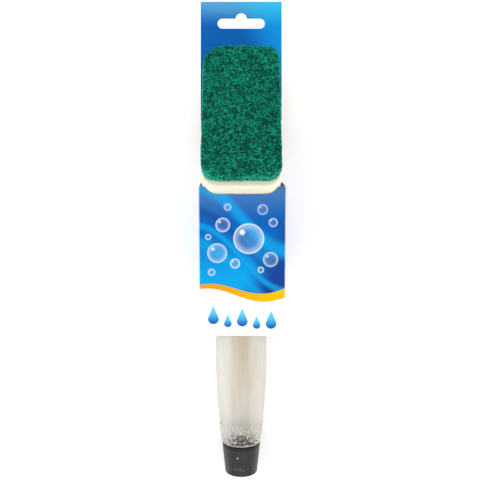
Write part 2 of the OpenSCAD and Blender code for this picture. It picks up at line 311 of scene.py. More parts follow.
class SharedEffect:
    """A node group that more than one material uses, built when it is first placed."""

    name: ClassVar[str]
    inputs: ClassVar[dict[str, float]] = {}
    outputs: ClassVar[tuple[str, ...]]
    number: ClassVar[str] = "NodeSocketFloat"
    built: ClassVar[dict[str, bpy.types.NodeTree]] = {}

    def fill(self, graph: Graph, given: Outputs) -> Settings:
        """Writes the nodes between the group's inputs and its outputs.

        Args:
            graph: the group's graph.
            given: the group's inputs, by name.

        Returns:
            What goes into each output.
        """
        raise NotImplementedError

    def tree(self) -> bpy.types.NodeTree:
        """Makes the group once.

        Returns:
            The group's tree.
        """
        if self.name not in self.built:
            tree = bpy.data.node_groups.new(self.name, "ShaderNodeTree")
            for label, value in self.inputs.items():
                socket = tree.interface.new_socket(label, in_out="INPUT", socket_type=self.number)
                socket.default_value = value
            for label in self.outputs:
                tree.interface.new_socket(label, in_out="OUTPUT", socket_type=self.number)
            graph = Graph(tree)
            start, end = graph.node("NodeGroupInput"), graph.node("NodeGroupOutput")
            graph.put(end, self.fill(graph, start.outputs))
            self.built[self.name] = tree
        return self.built[self.name]


class HandlePlace(SharedEffect):
    """A piece's own place, in millimetres in the handle's frame."""

    name = "handle_coordinates"
    outputs = ("Across", "Along", "Front")

    def fill(self, graph: Graph, given: Outputs) -> Settings:
        """Shifts to the cap's end and turns back by the tilt.

        Args:
            graph: the group's graph.
            given: the group's inputs, of which it has none.

        Returns:
            The place across, along and out of the handle.
        """
        x, y, z = graph.axes(graph.place())
        y, z = graph.minus(y, LIE.origin.y), graph.minus(z, LIE.origin.z)
        cos, sin = math.cos(LIE.tilt), math.sin(LIE.tilt)
        along = graph.plus(graph.times(y, cos), graph.times(z, sin))
        front = graph.minus(graph.times(z, cos), graph.times(y, sin))
        return {label: graph.math("DIVIDE", value, MM)
                for label, value in zip(self.outputs, (x, along, front))}


class PebbledZone(SharedEffect):
    """The pebbled zone of the handle: 1 at the middle of the cap's rim, and 0 outside an oval round it."""

    name = "pebbled_zone"
    outputs = ("Zone",)
    half_w: ClassVar[float] = 13.0
    reach: ClassVar[float] = 12.5

    def fill(self, graph: Graph, given: Outputs) -> Settings:
        """Measures an oval distance from the middle of the rim.

        Args:
            graph: the group's graph.
            given: the group's inputs, of which it has none.

        Returns:
            The zone's strength.
        """
        where = graph.group(HandlePlace())
        across = graph.math("DIVIDE", where["Across"], self.half_w)
        up = graph.math("DIVIDE", graph.minus(where["Along"], HANDLE.rim_s / MM), self.reach)
        return {"Zone": graph.span(graph.far(across, up), 1.15, 0.25)}


class FineGrain(SharedEffect):
    """The fine matt grain of moulded plastic and coated card, with broad clouds of tone."""

    name = "fine_grain"
    inputs = {"Size": 3000.0, "Cloud": 60.0}
    outputs = ("Height", "Tone")

    def fill(self, graph: Graph, given: Outputs) -> Settings:
        """Sets a fine grain beside broad clouds."""
        return {"Height": graph.noise(Noise(given["Size"], 3.0)),
                "Tone": graph.noise(Noise(given["Cloud"], 4.0))}


class WornEdge(SharedEffect):
    """Outer edges, broken up as handling wears them."""

    name = "worn_edge"
    inputs = {"Reach": 0.4 * MM, "Break": 400.0}
    outputs = ("Wear",)

    def fill(self, graph: Graph, given: Outputs) -> Settings:
        """Compares the rounded normal with the true one.

        Args:
            graph: the group's graph.
            given: how far the edge reaches, and how fine its breaks are.

        Returns:
            How worn the place is.
        """
        soft = graph.put(graph.node("ShaderNodeBevel", samples=4), {"Radius": given["Reach"]})
        dot = graph.node("ShaderNodeVectorMath", operation="DOT_PRODUCT")
        graph.feed(dot.inputs[0], soft["Normal"])
        graph.feed(dot.inputs[1], graph.node("ShaderNodeNewGeometry").outputs["Normal"])
        turn = graph.span(dot.outputs["Value"], 0.995, 0.8)
        patches = graph.span(graph.noise(Noise(given["Break"], 4.0)), 0.4, 0.65)
        return {"Wear": graph.times(turn, patches)}


@dataclass(frozen=True)
class Surface:
    """What every finish has: a name, its plain colour, and one Principled shader."""

    name: str
    colour: Colour

    def write(self, graph: Graph) -> Settings:
        """Writes the finish's nodes.

        Args:
            graph: the material's graph.

        Returns:
            What goes into each of the shader's inputs.
        """
        raise NotImplementedError

    def build(self) -> bpy.types.Material:
        """Makes the material.

        Returns:
            The material, with the plain colour for the viewport.
        """
        material = bpy.data.materials.new(self.name)
        material.use_nodes = True
        material.diffuse_color = (*self.colour, 1.0)
        graph, shader = Graph(material.node_tree), material.node_tree.nodes["Principled BSDF"]
        graph.put(shader, {"Base Color": self.colour})
        graph.put(shader, self.write(graph))
        return material


@dataclass(frozen=True)
class MouldedPlastic(Surface):
    """Opaque moulded plastic with a fine grain, clouds of tone and paler worn edges."""

    worn: Colour
    roughness: float = 0.4
    grain: float = 0.12
    gloss: float = 0.5

    def write(self, graph: Graph) -> Settings:
        """Writes the grain, the clouds and the wear.

        Args:
            graph: the material's graph.

        Returns:
            What goes into each of the shader's inputs.
        """
        grain = graph.group(FineGrain(), Size=2600.0, Cloud=55.0)
        wear = graph.group(WornEdge(), Reach=0.45 * MM, Break=500.0)["Wear"]
        clouded = graph.mix(graph.times(grain["Tone"], 0.08), self.colour, self.worn)
        return {
            "Base Color": graph.mix(graph.times(wear, 0.6), clouded, self.worn),
            "Roughness": graph.span(grain["Tone"], 0.2, 0.8, self.roughness - 0.07, self.roughness + 0.08),
            "Normal": graph.bump(grain["Height"], self.grain, 0.08 * MM),
            "Specular IOR Level": self.gloss,
        }


@dataclass(frozen=True)
class CapPlastic(MouldedPlastic):
    """The cap's plastic, with painted shadow turning its rim by the handle near black, a band of moulding
    marks near its end, and faint scuffs.
    """

    # Painted shadow: the near black at the cap's rim by the handle, and where it starts along the cap, in
    # millimetres.
    lip_shadow: Colour = srgb(8, 8, 9)
    scuffed: Colour = srgb(150, 152, 156)
    lip_shadow_edge: Pair = (18.2, 18.8)
    band_start: Pair = (3.2, 4.6)
    band_end: Pair = (7.6, 6.0)
    marks: Noise = Noise(160.0, 5.0, 0.75, (1.6, 5.0, 1.6))

    def write(self, graph: Graph) -> Settings:
        """Adds the painted rim shadow and the marks to the plain plastic.

        Args:
            graph: the material's graph.

        Returns:
            What goes into each of the shader's inputs.
        """
        plain = super().write(graph)
        along = graph.group(HandlePlace())["Along"]
        # Painted shadow: near black from 18.2 mm along, for the shaded rounded rim where the cap meets the
        # handle.
        lip_shadowed = graph.mix(graph.span(along, *self.lip_shadow_edge), plain["Base Color"], self.lip_shadow)
        marks = graph.noise(self.marks)
        band = graph.times(graph.span(along, *self.band_start), graph.span(along, *self.band_end))
        scuff = graph.most(graph.times(band, graph.span(marks, 0.52, 0.66)),
                           graph.times(graph.span(marks, 0.66, 0.76), 0.35))
        rough = graph.math("ADD", plain["Roughness"], graph.times(scuff, 0.15), clamp=True)
        return plain | {"Base Color": graph.mix(graph.times(scuff, 0.3), lip_shadowed, self.scuffed),
                        "Roughness": rough}


@dataclass(frozen=True)
class ClearPlastic(Surface):
    """Milky see-through plastic of the handle, with streaks along it, painted shade down its middle, and a
    pebbled zone by the cap with painted dark specks.
    """

    name: str = "milky_plastic"
    colour: Colour = srgb(252, 250, 245)
    # shade: the tan of the streaks, and of the painted shade down the handle's middle.
    shade: Colour = srgb(236, 227, 208)
    spot: Colour = srgb(250, 249, 245)
    # The dark of the painted specks: the black cap seen bent through the pebbles.
    painted_speck: Colour = srgb(56, 54, 46)
    streaks: Noise = Noise(260.0, 4.0, 0.62, (1.0, 0.07, 0.35))
    drift: Noise = Noise(45.0, 3.0, 0.6)
    spots: Noise = Noise(900.0)
    patches: Noise = Noise(420.0, 3.0, 0.6)
    ripple: Noise = Noise(260.0, 3.0)
    pebbles: float = 860.0
    # Where the painted shade band lies: its middle across, its soft sides and where it starts along the
    # handle, in millimetres.
    shade_band_x: float = 0.3
    shade_band_side: Pair = (8.5, 3.5)
    band_start: Pair = (30.0, 75.0)
    painted_specks_start: Pair = (21.7, 22.6)

    def write(self, graph: Graph) -> Settings:
        """Writes the streaks, the middle band of painted shade, the pale spots, and the pebbles with their
        painted dark specks.

        Args:
            graph: the material's graph.

        Returns:
            What goes into each of the shader's inputs.
        """
        where = graph.group(HandlePlace())
        along = where["Along"]
        streaks = graph.span(graph.noise(self.streaks), 0.4, 0.66)
        # Painted shade: a tan band down the handle's middle, front and back, with wavering sides, for the
        # darker middle of the lit clear tube; the streaks join it.
        drift = graph.times(graph.minus(graph.noise(self.drift), 0.5), 3.0)
        off = graph.size(graph.plus(graph.minus(where["Across"], self.shade_band_x), drift))
        band = graph.times(graph.span(off, *self.shade_band_side), graph.span(along, *self.band_start))
        streaks_and_shade = graph.math("ADD", graph.times(streaks, 0.55), graph.times(band, 0.42), clamp=True)
        colour = graph.mix(streaks_and_shade, self.colour, self.shade)
        spots = graph.span(graph.noise(self.spots), 0.66, 0.74)
        colour = graph.mix(graph.times(spots, 0.3), colour, self.spot)
        # Painted refraction: dark specks over the pebbled zone, densest at the middle of the rim, for the
        # black cap seen through the bumps.
        pebbles = graph.cells(self.pebbles)
        near_rim = graph.group(PebbledZone())["Zone"]
        patchy = graph.span(graph.plus(near_rim, graph.noise(self.patches)), 0.7, 1.3)
        dark = graph.times(graph.span(pebbles, 0.3, 0.56), patchy)
        dark = graph.times(dark, graph.span(along, *self.painted_specks_start))
        ridges = graph.times(graph.minus(1.0, pebbles), near_rim)
        ripple = graph.times(graph.noise(self.ripple), 0.25)
        return {
            "Base Color": graph.mix(graph.times(dark, 0.9), colour, self.painted_speck),
            "Normal": graph.bump(graph.plus(ridges, ripple), 0.6, 0.25 * MM),
            "Roughness": 0.3,
            "Transmission Weight": 0.72,
            "IOR": 1.46,
        }


@dataclass(frozen=True)
class PebbleDots(Surface):
    """The raised dots by the cap, which catch and bend the light, so each one is paler or darker."""

    name: str = "pebble_dots"
    colour: Colour = srgb(250, 248, 240)
    dark: Colour = srgb(58, 56, 48)
    faint: Colour = srgb(176, 171, 156)
    skin: Noise = Noise(2500.0)

    def write(self, graph: Graph) -> Settings:
        """Picks each dot's tone by chance, with more and darker ones near the rim.

        Args:
            graph: the material's graph.

        Returns:
            What goes into each of the shader's inputs.
        """
        chance = graph.node("ShaderNodeNewGeometry").outputs["Random Per Island"]
        zone = graph.group(PebbledZone())["Zone"]
        dark_share = graph.span(zone, 0.0, 1.0, 0.22, 0.8, smooth=False)
        pale = graph.span(graph.minus(chance, dark_share), -0.12, 0.12)
        dark = graph.mix(graph.span(zone, 0.0, 0.6), self.faint, self.dark)
        return {
            "Base Color": graph.mix(pale, dark, self.colour),
            "Normal": graph.bump(graph.noise(self.skin), 0.1, 0.05 * MM),
            "Roughness": 0.16,
            "Transmission Weight": 0.3,
            "IOR": 1.46,
        }


@dataclass(frozen=True)
class SoftRubber(Surface):
    """Rubber, silicone and sealing foam: a soft sheen over a faint grain."""

    roughness: float = 0.55
    clear: float = 0.0

    def write(self, graph: Graph) -> Settings:
        """Writes the grain and the clouds.

        Args:
            graph: the material's graph.

        Returns:
            What goes into each of the shader's inputs.
        """
        grain = graph.group(FineGrain(), Size=3500.0, Cloud=150.0)
        paler = tuple(min(1.0, part * 1.25 + 0.02) for part in self.colour)
        return {
            "Base Color": graph.mix(graph.times(grain["Tone"], 0.6), self.colour, paler),
            "Roughness": graph.span(grain["Tone"], 0.2, 0.8, self.roughness - 0.08, self.roughness + 0.08),
            "Normal": graph.bump(grain["Height"], 0.15, 0.06 * MM),
            "Transmission Weight": self.clear,
        }


@dataclass(frozen=True)
class SpongeFoam(Surface):
    """Cream open-cell foam: fine pores, a few larger ones, painted shade in the pores, and soft clouds of
    tone.
    """

    name: str = "cream_foam"
    colour: Colour = srgb(250, 245, 222)
    # deep: the darker cream of the clouds, and of the painted shade in the pores.
    deep: Colour = srgb(226, 214, 176)
    fine_pores: float = 1500.0
    large_pores: float = 430.0
    clouds: Noise = Noise(70.0, 3.0)
    skin: Noise = Noise(800.0)

    def write(self, graph: Graph) -> Settings:
        """Writes the pores with their painted shade, and the clouds.

        Args:
            graph: the material's graph.

        Returns:
            What goes into each of the shader's inputs.
        """
        pit = graph.most(graph.span(graph.cells(self.fine_pores), 0.3, 0.12),
                         graph.span(graph.cells(self.large_pores), 0.2, 0.08))
        clouded = graph.mix(graph.times(graph.noise(self.clouds), 0.35), self.colour, self.deep)
        height = graph.minus(graph.times(graph.noise(self.skin), 0.4), pit)
        # Painted shade: the pores go toward the deep cream.
        return {
            "Base Color": graph.mix(graph.times(pit, 0.55), clouded, self.deep),
            "Normal": graph.bump(height, 0.45, 0.3 * MM),
            "Roughness": 0.9,
            "Specular IOR Level": 0.25,
        }


@dataclass(frozen=True)
class ScourFibre(Surface):
    """Green non-woven web, in which each fibre has its own tone."""

    dark: Colour
    patches: Noise = Noise(700.0, 2.0, 0.6)
    skin: Noise = Noise(4200.0, 2.0, 0.6)

    def write(self, graph: Graph) -> Settings:
        """Gives each fibre a tone by chance, in loose patches.

        Args:
            graph: the material's graph.

        Returns:
            What goes into each of the shader's inputs.
        """
        chance = graph.node("ShaderNodeNewGeometry").outputs["Random Per Island"]
        patches = graph.times(graph.noise(self.patches), 0.3)
        pale = graph.span(graph.plus(chance, patches), 0.3, 1.25)
        return self.web(graph, pale, graph.bump(graph.noise(self.skin), 0.5, 0.06 * MM), 0.62)

    def web(self, graph: Graph, pale: Socket, normal: Socket, roughness: float) -> Settings:
        """What the fibres and the bed under them share.

        Args:
            graph: the material's graph.
            pale: how much of the paler green a place has.
            normal: its normal.
            roughness: its roughness.

        Returns:
            What goes into each of the shader's inputs.
        """
        return {"Base Color": graph.mix(pale, self.dark, self.colour), "Normal": normal,
                "Roughness": roughness, "Specular IOR Level": 0.15}


@dataclass(frozen=True)
class ScourBed(ScourFibre):
    """The darker bed of the web, full of gaps; its darker green is partly painted shade of the web's
    depth, and the gaps are painted darker still.
    """

    gaps: Noise = Noise(850.0, 3.0, 0.62)

    def write(self, graph: Graph) -> Settings:
        """Paints shade into the gaps, and sinks them."""
        gaps = graph.noise(self.gaps)
        # Painted shade: the gaps go toward the dark green.
        return self.web(graph, graph.span(gaps, 0.4, 0.62), graph.bump(gaps, 0.5, 0.5 * MM), 0.85)


@dataclass(frozen=True)
class TableTop(Surface):
    """The studio's matt white table, which looks white to the camera and in mirrors."""

    def write(self, graph: Graph) -> Settings:
        """Adds a faint white to what the camera, mirrors and clear plastic see.

        Args:
            graph: the material's graph.

        Returns:
            What goes into each of the shader's inputs.
        """
        rays = graph.node("ShaderNodeLightPath").outputs
        mirrored = graph.most(rays["Is Glossy Ray"], rays["Is Transmission Ray"])
        seen = graph.most(rays["Is Camera Ray"], mirrored)
        return {"Roughness": 0.9, "Specular IOR Level": 0.1, "Emission Color": (1, 1, 1),
                "Emission Strength": graph.times(seen, 0.25)}


@dataclass(frozen=True)
class Round:
    """One printed bubble or drop: its place on the front and its radius, in millimetres."""

    across: float
    up: float
    radius: float
    strength: float = 1.0


@dataclass(frozen=True)
class Streak:
    """One soft slanting streak of the print: its middle and half width in millimetres, and its ink."""

    middle: float
    width: float
    ink: Colour
    strength: float


@dataclass(frozen=True)
class CardPrint(Surface):
    """What the header card's and the sleeve's finishes share: the board under the ink and its gloss."""

    board: Colour = srgb(236, 234, 228)
    fleck: Colour = srgb(214, 209, 198)
    rubbed: Colour = srgb(234, 235, 236)
    roughness: float = 0.34

    def card(self, graph: Graph, ink: Socket, printed: Socket) -> Settings:
        """Lays ink on the board where it is printed, with paper grain and rubbed edges.

        Args:
            graph: the material's graph.
            ink: the printed colour.
            printed: 1 on the printed face, 0 on bare board.

        Returns:
            What goes into each of the shader's inputs.
        """
        grain = graph.group(FineGrain(), Size=1800.0, Cloud=90.0)
        board = graph.mix(graph.times(grain["Height"], 0.5), self.board, self.fleck)
        rub = graph.group(WornEdge(), Reach=0.35 * MM, Break=700.0)["Wear"]
        inked = graph.mix(graph.times(rub, 0.5), ink, self.rubbed)
        matt = graph.span(grain["Tone"], 0.2, 0.8, 0.78, 0.84)
        lift = graph.plus(graph.times(grain["Height"], 0.3), grain["Tone"])
        return {
            "Base Color": graph.mix(printed, board, inked),
            "Roughness": graph.minus(matt, graph.times(printed, 0.8 - self.roughness)),
            "Normal": graph.bump(lift, 0.1, 0.12 * MM),
            "Specular IOR Level": 0.16,
        }


@dataclass(frozen=True)
class HeaderPrint(CardPrint):
    """A plain blue fade on the header card, palest at the top and brightest on the right."""

    name: str = "header_print"
    colour: Colour = srgb(0, 97, 182)
    deep: Colour = srgb(0, 72, 150)
    bright: Colour = srgb(0, 147, 227)
    pale_left: Colour = srgb(90, 174, 228)
    pale_right: Colour = srgb(54, 198, 242)
    body_up: Pair = (84.0, 128.0)
    top_up: Pair = (138.0, 160.0)
    bright_right: Pair = (-4.0, 25.0)
    cyan_right: Pair = (-14.0, 24.0)
    drift: Noise = Noise(22.0, 2.0, 0.4)

    def write(self, graph: Graph) -> Settings:
        """Writes the fade, for the side of the card that faces up.

        Args:
            graph: the material's graph.

        Returns:
            What goes into each of the shader's inputs.
        """
        x, y, _ = graph.axes(graph.place())
        across = graph.math("DIVIDE", x, MM)
        up = graph.math("DIVIDE", y, MM)
        up = graph.plus(up, graph.times(graph.minus(graph.noise(self.drift), 0.5), 14.0))
        ink = graph.mix(graph.span(up, *self.body_up), self.deep, self.colour)
        to_right = graph.plus(across, graph.times(graph.minus(up, 140.0), 0.5))
        ink = graph.mix(graph.span(to_right, *self.bright_right), ink, self.bright)
        top = graph.mix(graph.span(across, *self.cyan_right), self.pale_left, self.pale_right)
        ink = graph.mix(graph.span(up, *self.top_up), ink, top)
        facing = graph.axes(graph.node("ShaderNodeTexCoord").outputs["Normal"])[2]
        return self.card(graph, ink, graph.span(facing, 0.3, 0.6))


@dataclass(frozen=True)
class SleevePrint(CardPrint):
    """A generic print for the sleeve: soap bubbles on a blue fade, a gold wave and a row of drops."""

    name: str = "sleeve_print"
    colour: Colour = srgb(0, 96, 184)
    slate: Colour = srgb(72, 122, 180)
    cyan: Colour = srgb(0, 166, 234)
    navy: Colour = srgb(16, 66, 150)
    gold: Colour = srgb(255, 194, 0)
    amber: Colour = srgb(248, 158, 26)
    white: Colour = srgb(250, 250, 250)
    film: Colour = srgb(235, 247, 255)
    drop_tip: Colour = srgb(96, 208, 248)
    drop_foot: Colour = srgb(0, 98, 190)
    bottom_s: float = 96.55
    half_w: float = across_of("wrap_sleeve")[1] / MM
    middle_x: float = across_of("wrap_sleeve")[0] / MM
    front_out: float = 17.3
    cyan_up: Pair = (30.0, 74.0)
    navy_right: Pair = (2.0, 24.0)
    slate_up: Pair = (70.0, 96.0)
    wave_turn: float = 0.09
    wave_up: float = 26.0
    wave_h: float = 4.2
    gold_thick: Pair = (2.6, 6.0)
    amber_left: Pair = (-20.0, 24.0)
    ink_edge: Pair = (0.15, -0.15)
    streak_slope: float = 0.62
    streak_sway: float = 6.0
    streaks: tuple[Streak, ...] = (
        Streak(74.0, 8.0, cyan, 0.75), Streak(58.0, 5.0, navy, 0.55),
        Streak(49.0, 3.5, cyan, 0.7), Streak(38.0, 6.0, cyan, 0.6))
    bubbles: tuple[Round, ...] = (
        Round(4.0, 61.5, 9.6, 1.0), Round(-12.0, 70.0, 4.6, 0.8), Round(-15.5, 52.5, 6.2, 0.8),
        Round(-4.5, 46.0, 3.2, 0.9), Round(17.5, 48.5, 4.8, 0.7), Round(19.0, 71.5, 2.9, 0.7),
        Round(11.5, 42.0, 2.1, 0.8), Round(-21.0, 62.5, 2.0, 0.7), Round(-9.0, 81.0, 2.4, 0.6),
        Round(12.5, 79.5, 3.4, 0.55), Round(-19.0, 40.5, 2.4, 0.7))
    drops: tuple[Round, ...] = (
        Round(-18.0, 11.0, 3.4), Round(-9.0, 8.0, 2.4), Round(0.0, 9.5, 3.4), Round(9.0, 7.0, 2.4),
        Round(18.0, 8.0, 3.4))

    def bubble_ink(self, graph: Graph, ink: Socket, across: Socket, up: Socket, bubble: Round) -> Socket:
        """Prints one bubble: a thin bright rim, a faint fill and a highlight.

        Args:
            graph: the material's graph.
            ink: the colour under the bubble.
            across, up: the place on the front, in millimetres.
            bubble: which bubble.

        Returns:
            The colour with the bubble on it.
        """
        radius, strength = bubble.radius, bubble.strength
        x, y = graph.minus(across, bubble.across), graph.minus(up, bubble.up)
        far = graph.far(x, y)
        rim = graph.size(graph.minus(far, radius - 0.5))
        ring = graph.span(rim, 0.7, 0.1, 0.0, 0.85 * strength)
        fill = graph.span(far, radius * 0.45, radius - 0.3, 0.06, 0.4 * strength)
        inside = graph.times(fill, graph.math("LESS_THAN", far, radius - 0.4))
        near = graph.far(graph.plus(x, radius * 0.42), graph.minus(y, radius * 0.42))
        glint = graph.span(near, radius * 0.28, radius * 0.08, 0.0, strength)
        return graph.mix(graph.most(graph.most(ring, inside), glint), ink, self.film)

    def drop_ink(self, graph: Graph, ink: Socket, across: Socket, up: Socket, drop: Round) -> Socket:
        """Prints one plain soap drop, pale at its tip and blue at its round foot.

        Args:
            graph: the material's graph.
            ink: the colour under the drop.
            across, up: the place on the front, in millimetres.
            drop: the middle and radius of its round foot.

        Returns:
            The colour with the drop on it.
        """
        tall, soft = drop.radius * 2.3, 0.12
        x, y = graph.minus(across, drop.across), graph.minus(up, drop.up)
        rise = graph.most(y, 0.0)
        slim = graph.span(rise, 0.0, tall, 1.0, 0.25, smooth=False)
        wide = graph.math("DIVIDE", x, slim)
        high = graph.plus(graph.math("MINIMUM", y, 0.0), graph.times(rise, drop.radius / tall))
        fade = graph.mix(graph.span(y, tall * 0.7, -drop.radius), self.drop_tip, self.drop_foot)
        inside = graph.span(graph.far(wide, high), drop.radius + soft, drop.radius - soft)
        return graph.mix(inside, ink, fade)

    def design(self, graph: Graph, across: Socket, up: Socket) -> Socket:
        """The whole design, which runs on from the front round both sides.

        Args:
            graph: the material's graph.
            across: millimetres from the front's middle line, measured over the card.
            up: millimetres from the sleeve's lower edge.

        Returns:
            The printed colour.
        """
        ink = graph.mix(graph.span(up, *self.cyan_up), self.cyan, self.colour)
        low_right = graph.plus(across, graph.times(graph.minus(44.0, up), 0.5))
        ink = graph.mix(graph.span(low_right, *self.navy_right), ink, self.navy)
        ink = graph.mix(graph.span(up, *self.slate_up, 0.0, 0.95), ink, self.slate)
        sway = graph.times(graph.math("SINE", graph.times(across, self.wave_turn)), self.streak_sway)
        slant = graph.plus(graph.plus(up, graph.times(across, self.streak_slope)), sway)
        for streak in self.streaks:
            off = graph.size(graph.minus(slant, streak.middle))
            share = graph.span(off, streak.width, streak.width * 0.1, 0.0, streak.strength)
            ink = graph.mix(share, ink, streak.ink)
        for bubble in self.bubbles:
            ink = self.bubble_ink(graph, ink, across, up, bubble)
        wave = graph.math("SINE", graph.times(graph.plus(across, 4.0), self.wave_turn))
        edge = graph.plus(graph.minus(up, self.wave_up), graph.times(wave, self.wave_h))
        thick = graph.span(across, -self.half_w, self.half_w, *self.gold_thick, smooth=False)
        gold = graph.mix(graph.span(across, *self.amber_left), self.amber, self.gold)
        ink = graph.mix(graph.span(graph.minus(edge, thick), *self.ink_edge), ink, gold)
        ink = graph.mix(graph.span(edge, *self.ink_edge), ink, self.white)
        for drop in self.drops:
            ink = self.drop_ink(graph, ink, across, up, drop)
        return ink

    def write(self, graph: Graph) -> Settings:
        """Writes the design on the sleeve's outside, and bare board on its inside.

        Args:
            graph: the material's graph.

        Returns:
            What goes into each of the shader's inputs.
        """
        where = graph.group(HandlePlace())
        across, front = graph.minus(where["Across"], self.middle_x), where["Front"]
        depth = graph.most(graph.minus(self.front_out, front), 0.0)
        unrolled = graph.plus(across, graph.times(graph.math("SIGN", across), depth))
        ink = self.design(graph, unrolled, graph.minus(where["Along"], self.bottom_s))
        on_front = graph.math("GREATER_THAN", front, self.front_out - 0.2)
        on_side = graph.math("GREATER_THAN", graph.size(across), self.half_w - 0.2)
        on_back = graph.math("LESS_THAN", front, -self.front_out - 0.3)
        return self.card(graph, ink, graph.most(graph.most(on_front, on_side), on_back))


def link_mesh(mesh: bpy.types.Mesh, material: bpy.types.Material, smooth: bool = True) -> bpy.types.Object:
    """Puts a mesh into the scene as an object of the same name.

    Args:
        mesh: the mesh.
        material: its material.
        smooth: True to shade it smooth.

    Returns:
        The object.
    """
    mesh.polygons.foreach_set("use_smooth", [smooth] * len(mesh.polygons))
    mesh.materials.append(material)
    made = bpy.data.objects.new(mesh.name, mesh)
    bpy.context.scene.collection.objects.link(made)
    return made


@dataclass
class Shell:
    """The points and faces of a piece that is written point by point, in metres."""

    verts: list[Vector] = field(default_factory=list)
    faces: list[tuple[int, ...]] = field(default_factory=list)

    def piece(self, name: str, material: bpy.types.Material, place: Matrix = Matrix.Identity(4),
              smooth: bool = True) -> bpy.types.Object:
        """Makes the piece.

        Args:
            name: its name.
            material: its material.
            place: from the points' own frame to the frame of the whole.
            smooth: True to shade it smooth.

        Returns:
            The object, linked to the scene.
        """
        mesh = bpy.data.meshes.new(name)
        mesh.from_pydata([tuple(place @ vert) for vert in self.verts], [], self.faces)
        mesh.validate()
        return link_mesh(mesh, material, smooth)


@dataclass
class SoftBlock:
    """A block with round corners and soft edges, built as an even grid that can be pushed about."""

    width: float
    length: float
    height: float
    corner_r: float
    edge_r: float
    cell: float

    def grid(self) -> bmesh.types.BMesh:
        """The block's six sides as one welded grid.

        Returns:
            A closed mesh, centred across, from 0 to length and from 0 to height.
        """
        size = Vector((self.width, self.length, self.height))
        counts = [max(4, round(part / self.cell)) for part in size]
        made = bmesh.new()
        for axis in range(3):
            one, two = [i for i in range(3) if i != axis]
            for end in (0.0, 1.0):
                rows = []
                for i in range(counts[one] + 1):
                    row = []
                    for j in range(counts[two] + 1):
                        part = [0.0, 0.0, 0.0]
                        part[axis], part[one], part[two] = end, i / counts[one], j / counts[two]
                        row.append(made.verts.new((part[0] - 0.5, part[1] - 0.5, part[2] - 0.5)))
                    rows.append(row)
                for i in range(counts[one]):
                    for j in range(counts[two]):
                        made.faces.new((rows[i][j], rows[i + 1][j], rows[i + 1][j + 1], rows[i][j + 1]))
        bmesh.ops.remove_doubles(made, verts=made.verts[:], dist=1e-6)
        for vert in made.verts:
            vert.co = Vector([a * b for a, b in zip(vert.co, size)])
            vert.co = self.rounded(vert.co, size / 2, self.edge_r, 3)
            vert.co = self.rounded(vert.co, size / 2, self.corner_r, 2)
            vert.co += Vector((0.0, self.length / 2, self.height / 2))
        bmesh.ops.recalc_face_normals(made, faces=made.faces[:])
        made.normal_update()
        return made

    @staticmethod
    def rounded(point: Vector, half: Vector, radius: float, axes: int) -> Vector:
        """Draws a box's corner region in to a round one.

        Args:
            point: a point of the box, from its middle.
            half: half of the box's size.
            radius: the corner's radius.
            axes: 2 for upright corners, 3 for every edge.

        Returns:
            The moved point.
        """
        core = Vector([max(-half[i] + radius, min(half[i] - radius, point[i])) for i in range(axes)])
        off = Vector(point[:axes]) - core
        if off.length > 1e-9:
            off *= max(abs(part) for part in off) / off.length
        moved = core + off
        return Vector([moved[i] if i < axes else point[i] for i in range(3)])

    def core(self, point: Vector) -> Vector:
        """The nearest place to a point that is a corner's radius inside the outline.

        Args:
            point: a place in the block's own frame.

        Returns:
            That place, at the point's own height.
        """
        half, radius = self.width / 2, self.corner_r
        return Vector((max(-half + radius, min(half - radius, point.x)),
                       max(radius, min(self.length - radius, point.y)), point.z))


